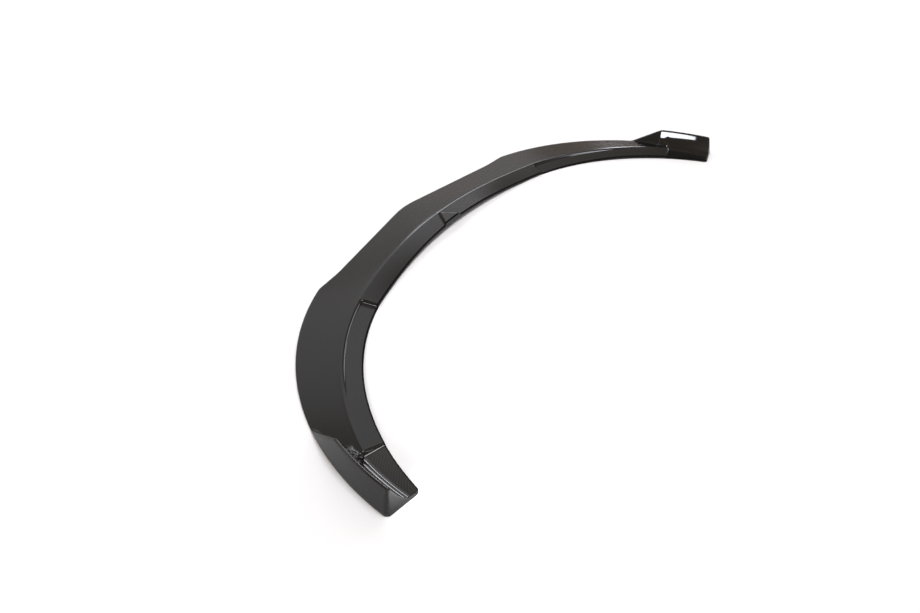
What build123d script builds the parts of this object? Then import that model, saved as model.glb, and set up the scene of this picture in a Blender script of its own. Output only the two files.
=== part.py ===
from build123d import *
import os
from math import atan2, cos, degrees, pi, radians, sin, sqrt

# Front splitter lip of a car: one moulded shell that bends round the lower edge of the nose.
# Frame: +X across the car, +Y to the rear, +Z up, resting on the floor, in millimetres.
# Distances "back" are measured from the point where the two front edges would meet.
# Angles are measured about the centre of a side arc, from straight sideways towards the front.

# Shell
wall = 3.0
edge_height = 5.0
flange_height = 10.0

# Front edge, seen from above
nose_round = 270.0
flat_start_x = 385.0
flat_start_back = 71.0
flat_round = 300.0
corner_x = 466.0
corner_back = 77.7
corner_round = 45.0

# Side arc of the outer edge; the width is taken over the end corners before they are rounded
overall_width = 1851.3
side_radius = 700.0
end_angle = 4.7
end_wall_angle = 10.8

# Inner edge: distance behind the nose in the middle, then widths across the sides
inner_middle_back = 193.0
step_angle = 67.0
mid_angle = 36.0
width_at_step = 179.0
width_at_mid = 148.0
width_at_end = 87.0

# Crown: the crest line and the land behind it, which meets the bumper
crest_middle_back = 135.0
crest_middle_height = 27.0
crest_side_height = 19.0
crest_middle_round = 60.0
crest_side_round = 40.0
inner_middle_height = 22.0
inner_side_height = 9.0
arch_half_span = 350.0
land_width = 52.0
land_round = 3.0

# Recess in the land, deepest at the step and fading out towards the end
recess_depth = 5.5
recess_end_angle = 33.0

# Lower pocket at each end, behind a joggle in the land
joggle_angle = 17.6
pocket_outer_height = 9.5
pocket_inner_height = 7.0

# Upright fence at each end
fence_height = 62.0
fence_band = 6.5
fence_lean = 16.0
fence_base = 52.0
rim_width = 5.0
rim_round = 2.0
foot_round = 20.0
foot_run = 30.0
foot_sink = 1.0
ramp_foot_angle = 27.6
ramp_top_angle = 19.7
end_draft = 12.0
end_round = 10.0

# Raised three-cornered pad in the middle of the land, pointing forwards
pad_width = 84.0
pad_height = 8.0
pad_draft = 35.0
pad_sink = 4.0

# Construction allowances: how far tools run past what they trim, and how edges are told apart
overrun = 40.0
overrun_angle = 5.0
headroom = 120.0
recess_fade = 0.6
middle_spans = 3
side_spans = 6
recess_spans = 3
steep_share = 0.6
touch = 0.01

side_centre_x = overall_width / 2 - side_radius * cos(radians(end_angle))
side_centre_back = corner_back + sqrt(side_radius**2 - (corner_x - side_centre_x) ** 2)
side_centre = Vector(side_centre_x, side_centre_back)
side_axis = Axis((side_centre_x, side_centre_back, 0), (0, 0, 1))


def around(radius, angle):
    """Point in plan at a radius and an angle about the centre of the side arc."""
    turn = radians(angle)
    return side_centre + Vector(cos(turn), -sin(turn)) * radius


def radial_plane(angle):
    """Upright plane through the side arc's axis: local x outwards, local y up."""
    turn = radians(angle)
    return Plane(
        origin=(side_centre_x, side_centre_back, 0),
        x_dir=(cos(turn), -sin(turn), 0),
        z_dir=(-sin(turn), -cos(turn), 0),
    )


# Inner edge of one side, and the crest line that runs a land's width outside it
inner_arc = ThreePointArc(
    around(side_radius - width_at_step, step_angle),
    around(side_radius - width_at_mid, mid_angle),
    around(side_radius - width_at_end, end_angle),
)
inner_centre = inner_arc.arc_center
inner_middle = TangentArc((0, inner_middle_back), inner_arc @ 0, tangent=(1, 0))
crest_radius = inner_arc.radius + land_width
step_turn = degrees(atan2((inner_arc @ 0).Y - inner_centre.Y, (inner_arc @ 0).X - inner_centre.X))
end_turn = degrees(atan2((inner_arc @ 1).Y - inner_centre.Y, (inner_arc @ 1).X - inner_centre.X))
crest_sweep = end_turn - step_turn + 2 * overrun_angle
crest_side = CenterArc(inner_centre, crest_radius, step_turn, crest_sweep)
crest_middle = TangentArc((0, crest_middle_back), crest_side @ 0, tangent=(1, 0))
crest_end_share = (end_turn - step_turn) / crest_sweep


def front_reach(point, outward, in_middle):
    """Distance from a point of the crest to the front edge, along the outward direction."""
    if in_middle:
        slope = flat_start_back / flat_start_x
        return (slope * point.X - point.Y) / (outward.Y - slope * outward.X)
    offset_in = point - side_centre
    along = offset_in.dot(outward)
    return sqrt(along**2 - offset_in.length**2 + side_radius**2) - along


class Station:
    """One cross-section of the crown, taken square to the crest line."""

    def __init__(self, line, share, in_middle):
        self.point = line @ share
        along = line % share
        self.outward = Vector(along.Y, -along.X)
        rise = (1 + cos(pi * share)) / 2 if in_middle else 0.0
        middle_land = inner_middle_back - crest_middle_back
        self.land = land_width + (middle_land - land_width) * rise
        self.crest = crest_side_height + (crest_middle_height - crest_side_height) * rise
        self.inner = inner_side_height + (inner_middle_height - inner_side_height) * rise
        self.round = crest_side_round + (crest_middle_round - crest_side_round) * rise
        self.reach = front_reach(self.point, self.outward, in_middle)

    def plane(self, side=1):
        """Plane of the section on one side: local x outwards from the crest, local y up."""
        across = Vector(side * self.outward.X, self.outward.Y)
        return Plane(
            origin=(side * self.point.X, self.point.Y, 0),
            x_dir=across,
            z_dir=(across.Y, -across.X, 0),
        )

    def front_height(self, distance):
        """Height of the front slope at a distance outwards from the crest."""
        return self.crest - (self.crest - edge_height) * distance / self.reach

    def land_height(self, distance):
        """Height of the land at a distance inwards from the crest."""
        return self.crest - (self.crest - self.inner) * distance / self.land


middle_stations = [Station(crest_middle, n / middle_spans, True) for n in range(middle_spans)]
side_stations = [Station(crest_side, n / side_spans, False) for n in range(side_spans + 1)]
half_stations = middle_stations + side_stations


def crown_section(station, side, inset):
    """Closed section of the crown on a station's plane, with its top lowered by the inset."""
    front = station.reach + overrun
    back = -station.land - overrun
    with BuildSketch(station.plane(side)) as section:
        with BuildLine():
            FilletPolyline(
                (front, station.front_height(front) - inset),
                (0, station.crest - inset),
                (back, station.land_height(-back) - inset),
                radius=station.round,
            )
            Polyline(
                (back, station.land_height(-back) - inset),
                (back, -headroom),
                (front, -headroom),
                (front, station.front_height(front) - inset),
            )
        make_face()
    return section.sketch


def outline_prism(inset):
    """Upright block with the outline of the lip seen from above, run past both ends."""
    corner_angle = degrees(atan2(side_centre_back - corner_back, corner_x - side_centre_x))
    past_end = end_angle - overrun_angle
    with BuildPart() as prism:
        with BuildSketch(Plane.XY.offset(-headroom)) as outline:
            with BuildLine():
                Polyline((0, 0), (flat_start_x, flat_start_back), (corner_x, corner_back))
                outer = CenterArc(side_centre, side_radius, -corner_angle, corner_angle - past_end)
                inner = CenterArc(
                    inner_centre, inner_arc.radius, step_turn, end_turn - step_turn + overrun_angle
                )
                Line(outer @ 1, inner @ 1)
                add(inner_middle)
                mirror(about=Plane.YZ)
            make_face()
            fillet([v for v in outline.vertices() if abs(v.X) < 1 and abs(v.Y) < 1], nose_round)
            fillet([v for v in outline.vertices() if abs(abs(v.X) - flat_start_x) < 1], flat_round)
            fillet([v for v in outline.vertices() if abs(abs(v.X) - corner_x) < 1], corner_round)
            if inset:
                offset(amount=-inset, mode=Mode.REPLACE)
        extrude(amount=2 * headroom)
    return prism.part


def crown_block(inset):
    """Full-width crown, lofted through the stations of both sides."""
    sections = [crown_section(station, -1, inset) for station in reversed(half_stations[1:])]
    sections += [crown_section(station, 1, inset) for station in half_stations]
    with BuildPart() as crown:
        loft(sections)
    return crown.part


def recess_section(share, inset):
    """Closed section of the recess, at a share of its length from the step to where it fades out."""
    length = (step_angle - recess_end_angle) / (step_angle - end_angle) * crest_end_share
    station = Station(crest_side, length * share, False)
    depth = recess_depth * (1 - share) - recess_fade * share + inset
    back = station.land + overrun
    with BuildSketch(station.plane()) as section:
        with BuildLine():
            Polyline(
                (inset, station.crest - depth),
                (-back, station.land_height(back) - depth),
                (-back, headroom),
                (inset, headroom),
                close=True,
            )
        make_face()
    return section.sketch


def recess_tool(inset):
    """Tool for the stepped recess in the land of both sides; the inset moves its end wall too."""
    sections = [recess_section(n / recess_spans, inset) for n in range(recess_spans + 1)]
    with BuildPart() as tool:
        loft(sections)
        if inset:
            extrude(sections[0], amount=inset)
        mirror(about=Plane.YZ)
    return tool.part


def pocket_floor(radius):
    """Height of the pocket's floor at a radius about the side arc's centre."""
    fall = pocket_outer_height - pocket_inner_height
    return pocket_outer_height - fall * (side_radius - fence_base - radius) / (width_at_end - fence_base)


def pocket_tool(inset):
    """Tool for the lowered pocket at both ends."""
    outer = side_radius - fence_lean
    inner = side_radius - width_at_step
    start = joggle_angle + degrees(inset / (side_radius - width_at_end))
    with BuildPart() as tool:
        with BuildSketch(radial_plane(start)):
            with BuildLine():
                Polyline(
                    (outer, pocket_floor(outer) - inset),
                    (outer, headroom),
                    (inner, headroom),
                    (inner, pocket_floor(inner) - inset),
                    close=True,
                )
            make_face()
        revolve(axis=side_axis, revolution_arc=start - end_angle + 2 * overrun_angle)
        mirror(about=Plane.YZ)
    return tool.part


def fence_block(inset):
    """Upright fences of both ends, with the narrow ramp that climbs to the rim and its flank."""
    foot = side_radius - fence_base
    foot_end = foot - foot_run
    spread = fence_lean * (headroom + fence_band) / (fence_height - fence_band)
    with BuildPart() as fence:
        with BuildSketch(radial_plane(ramp_foot_angle + overrun_angle)) as profile:
            with BuildLine():
                Polyline(
                    (side_radius + spread, -headroom),
                    (side_radius - fence_lean, fence_height),
                    (side_radius - fence_lean - rim_width, fence_height),
                    (foot, pocket_floor(foot)),
                    (foot_end, pocket_floor(foot_end) - foot_sink),
                    (foot_end, -headroom),
                    close=True,
                )
            make_face()
            fillet([v for v in profile.vertices() if abs(v.Z - pocket_floor(foot)) < touch], foot_round)
            if inset:
                offset(amount=-inset, kind=Kind.INTERSECTION, mode=Mode.REPLACE)
        revolve(axis=side_axis, revolution_arc=ramp_foot_angle - end_angle + 2 * overrun_angle)
        foot_point = around(side_radius, ramp_foot_angle) + Vector(0, 0, edge_height)
        top_point = around(side_radius - fence_lean, ramp_top_angle) + Vector(0, 0, fence_height)
        climb = top_point - foot_point
        sideways = Vector(0, 0, 1).cross(climb).normalized()
        upwards = climb.cross(sideways).normalized()
        split(bisect_by=Plane(origin=foot_point - upwards * inset, z_dir=upwards), keep=Keep.BOTTOM)
        rim_outer = side_radius - fence_lean
        rim_inner = rim_outer - rim_width
        reach = (side_centre - top_point).dot(sideways)
        ridge_point = foot_point + sideways * (reach - sqrt(reach**2 - rim_outer**2 + rim_inner**2))
        flank_point = around(foot, ramp_top_angle) + Vector(0, 0, pocket_floor(foot))
        flank = climb.cross(flank_point - ridge_point).normalized()
        split(bisect_by=Plane(origin=ridge_point - flank * inset, z_dir=flank), keep=Keep.BOTTOM)
        mirror(about=Plane.YZ)
    return fence.part


def pad_block(inset):
    """Raised pad that rises from the crest and ends flush with the inner edge."""
    slope = Vector(0, inner_middle_back - crest_middle_back, inner_middle_height - crest_middle_height)
    length = slope.length + overrun
    half = pad_width / 2 * length / slope.length
    land_plane = Plane(
        origin=(0, crest_middle_back, crest_middle_height),
        x_dir=(1, 0, 0),
        z_dir=Vector(1, 0, 0).cross(slope),
    )
    with BuildPart() as pad:
        with BuildSketch(land_plane.offset(-pad_sink - inset)):
            with BuildLine():
                Polyline((0, 0), (half, length), (-half, length), close=True)
            make_face()
            if inset:
                offset(amount=-inset, kind=Kind.INTERSECTION, mode=Mode.REPLACE)
        extrude(amount=pad_height + pad_sink, taper=pad_draft)
    return pad.part


def arch_tool():
    """Tool that lifts the foot of the inner flange off the floor in the middle."""
    with BuildPart() as tool:
        with BuildSketch(Plane.XZ.offset(-crest_middle_back - land_width / 2)):
            with BuildLine():
                ThreePointArc(
                    (-arch_half_span, 0),
                    (0, inner_middle_height - flange_height),
                    (arch_half_span, 0),
                )
                Line((-arch_half_span, 0), (arch_half_span, 0))
            make_face()
        extrude(amount=-arch_half_span)
    return tool.part


def end_plane(inset):
    """Plane of the end wall, leaning forward as it rises."""
    lean = radians(end_draft)
    turn = radians(end_wall_angle)
    rearward = Vector(sin(turn), cos(turn), 0)
    facing = rearward * cos(lean) + Vector(0, 0, sin(lean))
    origin = around(side_radius, end_angle) - facing * inset
    return Plane(origin=origin, x_dir=(cos(turn), -sin(turn), 0), z_dir=facing)


def end_corners(faces, plane, side):
    """Upright edges of an end wall's inner and outer corners, on the wall that lies in a plane."""
    walls = [f for f in faces if abs((f.center() - plane.origin).dot(plane.z_dir)) < touch]
    steep = [e for f in walls for e in f.edges() if abs((e @ 1 - e @ 0).normalized().Z) > steep_share]
    ordered = ShapeList(steep).sort_by(lambda e: side * e.center().X)
    return ordered[:1] + ordered[-2:]


def rim_edges(edges):
    """Edges of the fences' rims and of the narrow ramps that climb to them."""
    ramp_back = around(side_radius, ramp_top_angle).Y
    touching = [e for e in edges if abs(max((e @ 0).Z, (e @ 1).Z) - fence_height) < touch]
    return [e for e in touching if abs(e.center().Z - fence_height) < touch or e.center().Y < ramp_back]


def land_edges(faces):
    """Upper edges of the inner flange, along the land, the pad and the pockets."""
    radii = (inner_arc.radius, inner_middle.radius)
    curved = faces.filter_by(GeomType.CYLINDER)
    flange = [f for f in curved if min(abs(f.radius - radius) for radius in radii) < touch]
    upper = [e for f in flange for e in f.edges() if e.center().Z > 0]
    return [e for e in upper if abs((e @ 1 - e @ 0).normalized().Z) < steep_share]


def lip_volume(inset):
    """Filled form of the lip, with every surface set in by the inset."""
    cut = end_plane(inset)
    far_cut = Plane(
        origin=(-cut.origin.X, cut.origin.Y, cut.origin.Z),
        x_dir=(-cut.x_dir.X, cut.x_dir.Y, cut.x_dir.Z),
        z_dir=(-cut.z_dir.X, cut.z_dir.Y, cut.z_dir.Z),
    )
    crown = crown_block(inset)
    prism = outline_prism(inset)
    recess = recess_tool(inset)
    pocket = pocket_tool(inset)
    fences = fence_block(inset)
    pad = pad_block(inset)
    with BuildPart() as volume:
        add(crown)
        add(pad)
        add(recess, mode=Mode.SUBTRACT)
        add(pocket, mode=Mode.SUBTRACT)
        add(fences)
        add(prism, mode=Mode.INTERSECT)
        split(bisect_by=cut, keep=Keep.BOTTOM)
        split(bisect_by=far_cut, keep=Keep.BOTTOM)
        corners = end_corners(volume.faces(), cut, 1) + end_corners(volume.faces(), far_cut, -1)
        fillet(corners, end_round - inset)
    return volume.part


os.makedirs("parts", exist_ok=True)

form = lip_volume(0.0)
hollow = lip_volume(wall)
arch = arch_tool()

with BuildPart() as shell:
    add(form)
    fillet(rim_edges(shell.edges()), rim_round)
    fillet(land_edges(shell.faces()), land_round)
    split(bisect_by=Plane.XY, keep=Keep.TOP)
    add(hollow, mode=Mode.SUBTRACT)
    add(arch, mode=Mode.SUBTRACT)

box = shell.part.bounding_box()
with BuildPart() as splitter_lip:
    with Locations((0, -(box.min.Y + box.max.Y) / 2, 0)):
        add(shell.part)

splitter_lip.part.label = "splitter_lip"
export_step(splitter_lip.part, "parts/splitter_lip.step")
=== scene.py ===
"""Front splitter lip: one moulded carbon shell, dressed and set in a plain studio."""
import logging
import math
from collections.abc import Iterable
from dataclasses import dataclass, field
from enum import Enum

import bpy
import numpy as np
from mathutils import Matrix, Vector


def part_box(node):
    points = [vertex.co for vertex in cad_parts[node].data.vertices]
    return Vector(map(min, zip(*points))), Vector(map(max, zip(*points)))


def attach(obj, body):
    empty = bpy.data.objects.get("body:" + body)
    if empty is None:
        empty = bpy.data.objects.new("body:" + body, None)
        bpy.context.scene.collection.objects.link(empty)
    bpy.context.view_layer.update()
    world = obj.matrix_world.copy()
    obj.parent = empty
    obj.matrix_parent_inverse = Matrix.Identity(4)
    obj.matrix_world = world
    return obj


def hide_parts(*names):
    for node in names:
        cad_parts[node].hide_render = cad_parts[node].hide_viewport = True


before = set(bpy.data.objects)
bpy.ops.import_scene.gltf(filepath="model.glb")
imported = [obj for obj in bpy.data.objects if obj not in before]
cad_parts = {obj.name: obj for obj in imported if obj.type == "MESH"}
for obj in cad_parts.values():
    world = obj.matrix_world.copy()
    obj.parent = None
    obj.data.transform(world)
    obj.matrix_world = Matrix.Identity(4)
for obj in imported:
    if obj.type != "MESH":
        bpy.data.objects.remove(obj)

LOG = logging.getLogger("splitter_lip")
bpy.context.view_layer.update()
MM = 0.001
LIP_NODE = "splitter_lip"
CLOTH_MAP = "cloth"
ARC_COUNT = 200
CORNER_COUNT = 30
UP = Vector((0.0, 0.0, 1.0))
WHITE = (1.0, 1.0, 1.0, 1.0)

Numbers = float | np.ndarray
Triple = tuple[float, float, float]
Crossing = tuple[np.ndarray, np.ndarray, np.ndarray]
Socket = bpy.types.NodeSocket
Feed = Socket | float | tuple[float, ...]


class Region(Enum):
    """Surface regions of the moulding, each with its own finish; the value is kept on the skin's faces."""

    PLATE = 0
    POCKET = 1
    BARE = 2


def smooth_min(first: np.ndarray, second: np.ndarray, blend: Numbers) -> np.ndarray:
    """Lower of two heights, with the ridge where they cross rounded off.

    Args:
        first: heights of one surface.
        second: heights of the other surface.
        blend: difference of height below which the two are blended.

    Returns:
        The blended heights.
    """
    share = np.maximum(blend - np.abs(first - second), 0.0) / blend
    return np.minimum(first, second) - share**2 * blend / 4


def smooth_max(first: np.ndarray, second: np.ndarray, blend: Numbers) -> np.ndarray:
    """Higher of two heights, with the valley where they cross rounded as smooth_min rounds a ridge."""
    return -smooth_min(-first, -second, blend)


def smooth_step(share: np.ndarray) -> np.ndarray:
    """Eased step from 0 to 1 as the share goes from 0 to 1."""
    held = np.clip(share, 0.0, 1.0)
    return held * held * (3 - 2 * held)


def brow(share: np.ndarray) -> np.ndarray:
    """Step from 0 to 1 with a rounded brow and a crisp foot."""
    return 1 - np.sqrt(1 - np.clip(share, 0.0, 1.0) ** 2)


def ogee(share: np.ndarray) -> np.ndarray:
    """Step from 0 to 1 with a rounded brow and a rounded foot."""
    return (brow(2 * share) + 1 - brow(2 - 2 * share)) / 2


def edge_drop(distance: np.ndarray, radius: float) -> np.ndarray:
    """Fall of a quarter-round edge at a distance from it."""
    inside = np.clip(radius - distance, 0.0, radius)
    return radius - np.sqrt(radius**2 - inside**2)


def between(low: Numbers, high: Numbers, share: Numbers) -> Numbers:
    """Value at a share of the way from one value to another."""
    return low + (high - low) * share


def steepness(draft: float) -> float:
    """Climb for each millimetre inwards of a face that leans in from upright by some degrees."""
    return 1 / math.tan(math.radians(draft))


def slope_height(start: Numbers, rise: float, run: np.ndarray, inset: float) -> np.ndarray:
    """Height of a sloped face.

    Args:
        start: height where the run begins.
        rise: climb for each millimetre of the run.
        run: level distance from where the face begins.
        inset: how far the face is set in, square to itself.

    Returns:
        Height at each distance.
    """
    return start + run * rise - inset * math.hypot(1, rise)


def circle_through(first: np.ndarray, second: np.ndarray, third: np.ndarray) -> tuple[np.ndarray, float]:
    """Circle through three points of the plan.

    Args:
        first: one point.
        second: another point.
        third: a point that isn't in line with the others.

    Returns:
        Centre and radius of the circle.
    """
    rows = np.array([second - first, third - first]) * 2
    sums = np.array([second @ second - first @ first, third @ third - first @ first])
    centre = np.linalg.solve(rows, sums)
    return centre, float(np.linalg.norm(first - centre))


def meet_circle(start: np.ndarray, along: np.ndarray, centre: np.ndarray, radius: float) -> np.ndarray:
    """Point where a line from inside a circle leaves it.

    Args:
        start: point inside the circle.
        along: direction of the line, of length 1.
        centre: centre of the circle.
        radius: radius of the circle.

    Returns:
        The point on the circle.
    """
    offset = start - centre
    lead = offset @ along
    return start + along * (math.sqrt(lead**2 - offset @ offset + radius**2) - lead)


def arc_points(centre: np.ndarray, start: np.ndarray, end: np.ndarray, count: int = ARC_COUNT) -> np.ndarray:
    """Points of the short arc about a centre from one point to another.

    Args:
        centre: centre of the arc.
        start: first point.
        end: last point.
        count: number of points.

    Returns:
        The points in order.
    """
    first = math.atan2(*(start - centre)[::-1])
    last = math.atan2(*(end - centre)[::-1])
    turns = np.linspace(first, last, count)
    radius = np.linalg.norm(start - centre)
    return centre + radius * np.stack([np.cos(turns), np.sin(turns)], axis=1)


def corner_points(before: np.ndarray, corner: np.ndarray, after: np.ndarray, radius: float) -> np.ndarray:
    """Points of the arc that rounds the corner of two straight runs.

    Args:
        before: a point of the first run.
        corner: the sharp corner.
        after: a point of the second run.
        radius: radius of the arc.

    Returns:
        The arc's points, from the first run to the second.
    """
    towards = (before - corner) / np.linalg.norm(before - corner)
    away = (after - corner) / np.linalg.norm(after - corner)
    half = math.acos(float(np.clip(towards @ away, -1.0, 1.0))) / 2
    middle = (towards + away) / np.linalg.norm(towards + away)
    setback = radius / math.tan(half)
    centre = corner + middle * radius / math.sin(half)
    return arc_points(centre, corner + towards * setback, corner + away * setback, CORNER_COUNT)


@dataclass(frozen=True)
class PlanPath:
    """A line of the plan, given by closely spaced points."""

    points: np.ndarray

    @property
    def distances(self) -> np.ndarray:
        """Distance of each point along the line."""
        return np.concatenate([[0.0], np.cumsum(np.linalg.norm(np.diff(self.points, axis=0), axis=1))])

    @property
    def length(self) -> float:
        """Length of the line."""
        return float(self.distances[-1])

    def at(self, shares: np.ndarray) -> np.ndarray:
        """Points at shares of the line's length."""
        places = shares * self.length
        return np.stack([np.interp(places, self.distances, self.points[:, k]) for k in (0, 1)], axis=1)


@dataclass(frozen=True)
class Spacing:
    """How closely sections follow each other along a stretch, in millimetres of its inner edge.

    Attributes:
        stops: distances where the spacing changes, a negative one counted back from the far end.
        steps: about how far apart the sections are, before, between and after the stops.
    """

    stops: tuple[float, ...]
    steps: tuple[float, ...]

    def shares(self, length: float) -> np.ndarray:
        """Places of the sections on a stretch.

        Args:
            length: length of the stretch's inner edge.

        Returns:
            Shares of the length, from 0 to 1.
        """
        stops = [0.0, *(stop if stop > 0 else length + stop for stop in self.stops), length]
        runs = [
            np.linspace(low, high, max(1, round((high - low) / step)), endpoint=False)
            for low, high, step in zip(stops, stops[1:], self.steps)
        ]
        return np.concatenate([*runs, [length]]) / length


@dataclass(frozen=True)
class Span:
    """Stretch of the lip between two of its features: three matching lines and where sections are taken."""

    outer: PlanPath
    crest: PlanPath
    inner: PlanPath
    shares: np.ndarray


@dataclass
class LipPlan:
    """The lip seen from above, one half, in millimetres and degrees.

    Backs are measured from the sharp nose point. Angles are about the side arc's centre, from sideways to the
    front, but for the end wall's, which turns it from square to the middle line.
    """

    overall_width: float = 1851.3
    side_radius: float = 700.0
    end_angle: float = 4.7
    end_wall_angle: float = 10.8
    nose_round: float = 270.0
    nose_gap: float = 1.0
    flat_start_x: float = 385.0
    flat_start_back: float = 71.0
    flat_round: float = 300.0
    corner_x: float = 466.0
    corner_back: float = 77.7
    corner_round: float = 45.0
    inner_middle_back: float = 193.0
    step_angle: float = 67.0
    mid_angle: float = 36.0
    width_at_step: float = 179.0
    width_at_mid: float = 148.0
    width_at_end: float = 87.0
    crest_middle_back: float = 135.0
    land_width: float = 52.0
    ramp_foot_angle: float = 27.6
    joggle_angle: float = 17.6
    end_round: float = 10.0
    end_zone: float = 18.0
    spacings: tuple[Spacing, ...] = (
        # From the middle to the step, fine over the pad and just before the step.
        Spacing(stops=(58, 350, -6), steps=(1.25, 9, 4, 1)),
        # To the foot of the ramp, fine just after the step.
        Spacing(stops=(8, -12), steps=(1, 9, 2.5)),
        # To the joggle, fine just before it.
        Spacing(stops=(-6,), steps=(2.2, 0.8)),
        # To the end zone, fine just after the joggle.
        Spacing(stops=(12,), steps=(0.8, 6)),
        # Through the end zone to the end wall.
        Spacing(stops=(), steps=(1,)),
    )
    side_centre: np.ndarray = field(init=False)
    inner_centre: np.ndarray = field(init=False)
    inner_radius: float = field(init=False)

    def __post_init__(self) -> None:
        """Work out the centres of the side arcs."""
        centre_x = self.overall_width / 2 - self.side_radius * math.cos(math.radians(self.end_angle))
        drop = math.sqrt(self.side_radius**2 - (self.corner_x - centre_x) ** 2)
        self.side_centre = np.array([centre_x, self.corner_back + drop])
        self.inner_centre, self.inner_radius = circle_through(
            self.around(self.side_radius - self.width_at_step, self.step_angle),
            self.around(self.side_radius - self.width_at_mid, self.mid_angle),
            self.around(self.side_radius - self.width_at_end, self.end_angle),
        )

    def around(self, radius: float, angle: float) -> np.ndarray:
        """Point at a radius and an angle about the side arc's centre."""
        turn = math.radians(angle)
        return self.side_centre + radius * np.array([math.cos(turn), -math.sin(turn)])

    def polar(self, place: np.ndarray) -> tuple[np.ndarray, np.ndarray]:
        """Radius and angle of plan points about the side arc's centre."""
        offset = place - self.side_centre
        return np.linalg.norm(offset, axis=-1), np.degrees(np.arctan2(-offset[..., 1], offset[..., 0]))

    @property
    def nose_tip(self) -> float:
        """Distance back of the rounded nose."""
        slope = math.atan2(self.flat_start_back, self.flat_start_x)
        return self.nose_round * (1 / math.cos(slope) - 1)

    @property
    def rearward(self) -> np.ndarray:
        """Level direction out of the end wall."""
        turn = math.radians(self.end_wall_angle)
        return np.array([math.sin(turn), math.cos(turn)])

    @property
    def end_inwards(self) -> np.ndarray:
        """Level direction along the end wall, into the bay."""
        return np.array([-self.rearward[1], self.rearward[0]])

    @property
    def end_corner(self) -> np.ndarray:
        """Outer corner of the end wall, before rounding."""
        return self.around(self.side_radius, self.end_angle)

    def cross_points(self, start: np.ndarray, inwards: np.ndarray) -> Crossing:
        """Points of the outer edge, crest and inner edge on a line across the lip.

        Args:
            start: point of the outer edge.
            inwards: direction across the lip, into the bay.

        Returns:
            The three points.
        """
        deep = start + inwards * self.side_radius / 2
        crest_radius = self.inner_radius + self.land_width
        crest = meet_circle(deep, -inwards, self.inner_centre, crest_radius)
        inner = meet_circle(deep, -inwards, self.inner_centre, self.inner_radius)
        return start, crest, inner

    def radial_points(self, angle: float) -> Crossing:
        """Points of the outer edge, crest and inner edge on a line through the side arc's centre."""
        start = self.around(self.side_radius, angle)
        return self.cross_points(start, (self.side_centre - start) / self.side_radius)

    def end_points(self, ahead: float) -> Crossing:
        """Points of the outer edge, crest and inner edge on a line parallel to the end wall.

        Args:
            ahead: distance of the line from the end wall.

        Returns:
            The three points.
        """
        deep = self.end_corner - self.rearward * ahead + self.end_inwards * self.width_at_end
        start = meet_circle(deep, -self.end_inwards, self.side_centre, self.side_radius)
        return self.cross_points(start, self.end_inwards)

    def step_points(self) -> Crossing:
        """Points of the outer edge, crest and inner edge at the step of the land, square to the crest.

        Returns:
            The three points.
        """
        inner = self.around(self.side_radius - self.width_at_step, self.step_angle)
        outward = (inner - self.inner_centre) / self.inner_radius
        crest = inner + outward * self.land_width
        return meet_circle(crest, outward, self.side_centre, self.side_radius), crest, inner

    def front_edge(self, end: np.ndarray) -> np.ndarray:
        """Points of the outer edge from the nose to the side arc just past the corner.

        Args:
            end: last point, on the side arc.

        Returns:
            The points in order; those of the nose's arc within the nose gap give way to its tip.
        """
        nose = np.zeros(2)
        flat = np.array([self.flat_start_x, self.flat_start_back])
        corner = np.array([self.corner_x, self.corner_back])
        across = np.array([-self.flat_start_x, self.flat_start_back])
        tangent = np.array([self.side_centre[1] - self.corner_back, self.corner_x - self.side_centre[0]])
        nose_arc = corner_points(across, nose, flat, self.nose_round)
        corner_arc = corner_points(flat, corner, corner + tangent, self.corner_round)
        return np.concatenate(
            [
                [[0.0, self.nose_tip]],
                nose_arc[nose_arc[:, 0] > self.nose_gap],
                corner_points(nose, flat, corner, self.flat_round),
                corner_arc,
                arc_points(self.side_centre, corner_arc[-1], end)[1:],
            ]
        )

    def middle_arc(self, back: float, end: np.ndarray) -> np.ndarray:
        """Points of the arc that starts square to the middle line.

        Args:
            back: distance back of its start.
            end: last point.

        Returns:
            The points in order.
        """
        rise = end[1] - back
        radius = (end[0] ** 2 + rise**2) / (2 * rise)
        return arc_points(np.array([0.0, back + radius]), np.array([0.0, back]), end)

    def spans(self) -> list[Span]:
        """Divide one half at its features.

        Returns:
            The stretches, from the middle to the end wall.
        """
        knots = [
            self.step_points(),
            self.radial_points(self.ramp_foot_angle),
            self.radial_points(self.joggle_angle),
            self.end_points(self.end_zone),
            self.end_points(0.0),
        ]
        outer, crest, inner = knots[0]
        middle = [
            self.front_edge(outer),
            self.middle_arc(self.crest_middle_back, crest),
            self.middle_arc(self.inner_middle_back, inner),
        ]
        centres = (self.side_centre, self.inner_centre, self.inner_centre)
        sides = [
            [arc_points(centre, start, end) for centre, start, end in zip(centres, low, high)]
            for low, high in zip(knots, knots[1:])
        ]
        found = []
        for lines, spacing in zip([middle, *sides], self.spacings):
            paths = [PlanPath(line) for line in lines]
            found.append(Span(*paths, spacing.shares(paths[-1].length)))
        return found


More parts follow.
